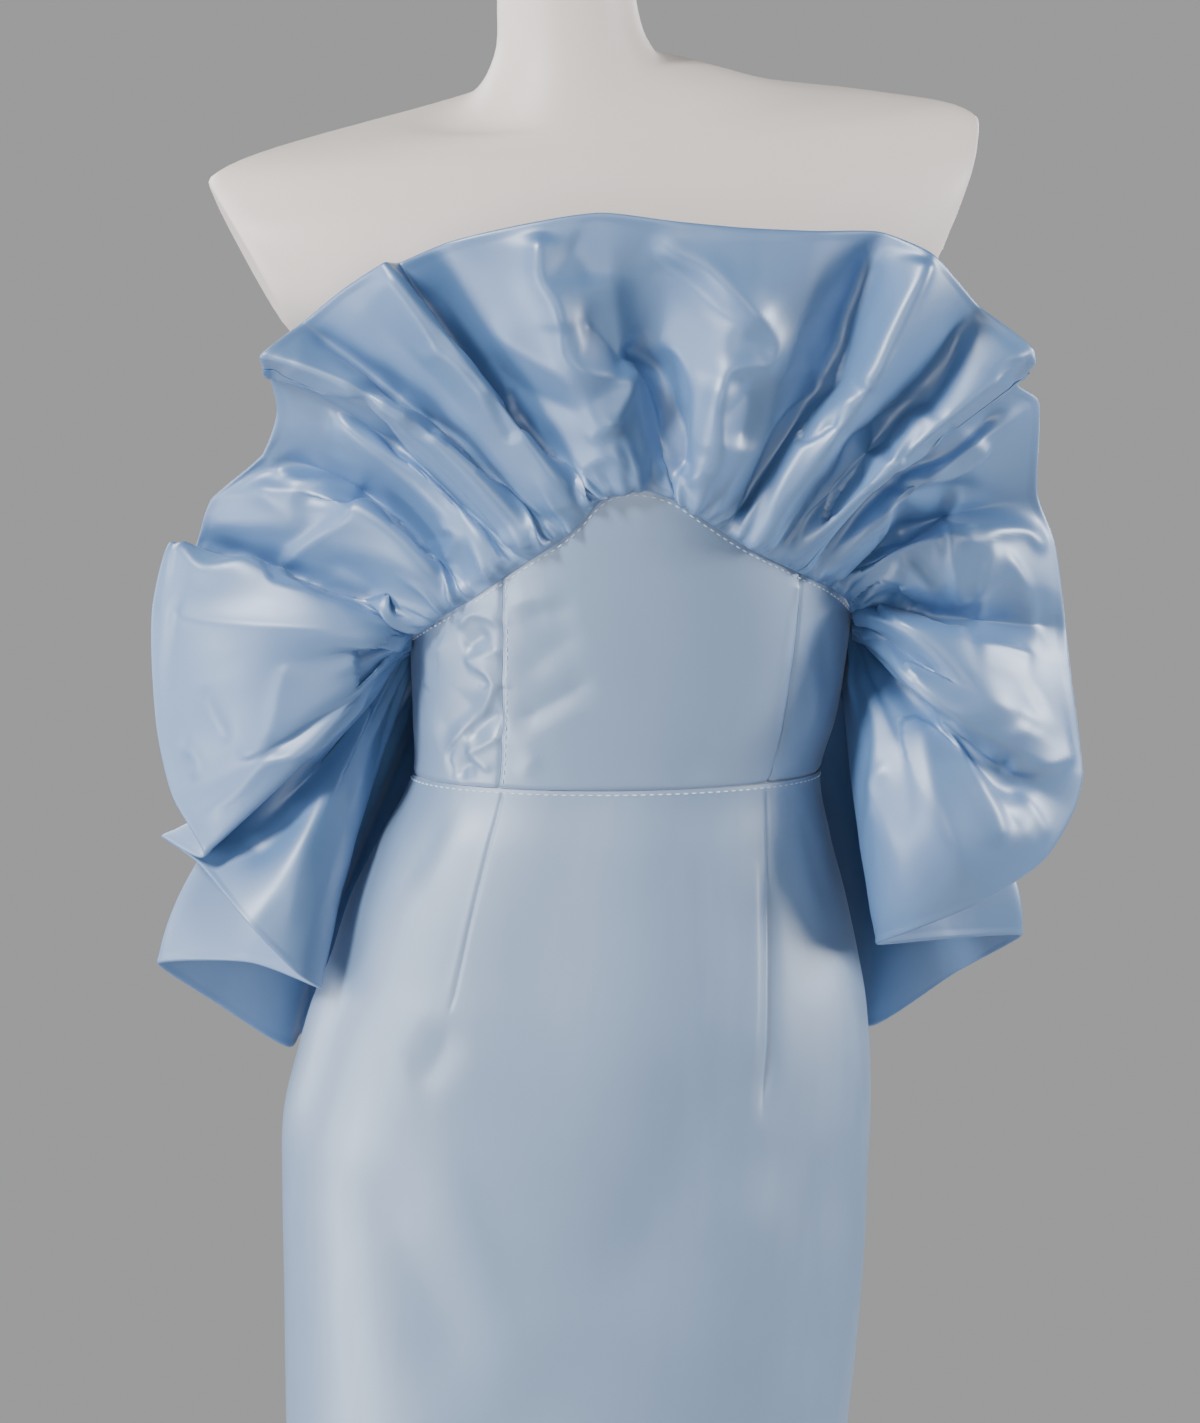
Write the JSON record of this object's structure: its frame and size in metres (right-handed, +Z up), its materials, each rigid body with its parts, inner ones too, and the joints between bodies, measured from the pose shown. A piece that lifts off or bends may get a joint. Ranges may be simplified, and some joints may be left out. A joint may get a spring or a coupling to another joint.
{
  "type": "mermaid evening dress on a limbless dress form",
  "caption": "Off-the-shoulder mermaid evening dress in satin with a gathered fan flounce, worn by a limbless dress form on a pole stand.",
  "frame": {"origin": "on the floor, at the centre of the stand base underside, under the pole", "axes": "+Z up along the pole, the centre front of the dress faces -Y, +X is on the viewer right"},
  "size_m": [0.712, 0.6947, 1.556],
  "materials": {
    "satin": "smooth ice blue duchess satin",
    "form_shell": "matte warm white shell",
    "stand_steel": "brushed steel"
  },
  "bodies": {
    "root": {"bodice_centre_front": "satin", "bodice_side_left": "satin", "bodice_side_right": "satin", "bodice_back_left": "satin", "bodice_back_right": "satin", "skirt_front": "satin", "skirt_back_left": "satin", "skirt_back_right": "satin", "flounce_front": "satin", "flounce_left": "satin", "flounce_right": "satin", "dress_form": "form_shell", "stand_base": "stand_steel", "stand_collar": "stand_steel", "stand_pole": "stand_steel", "stand_flange": "stand_steel"}
  },
  "joints": []
}
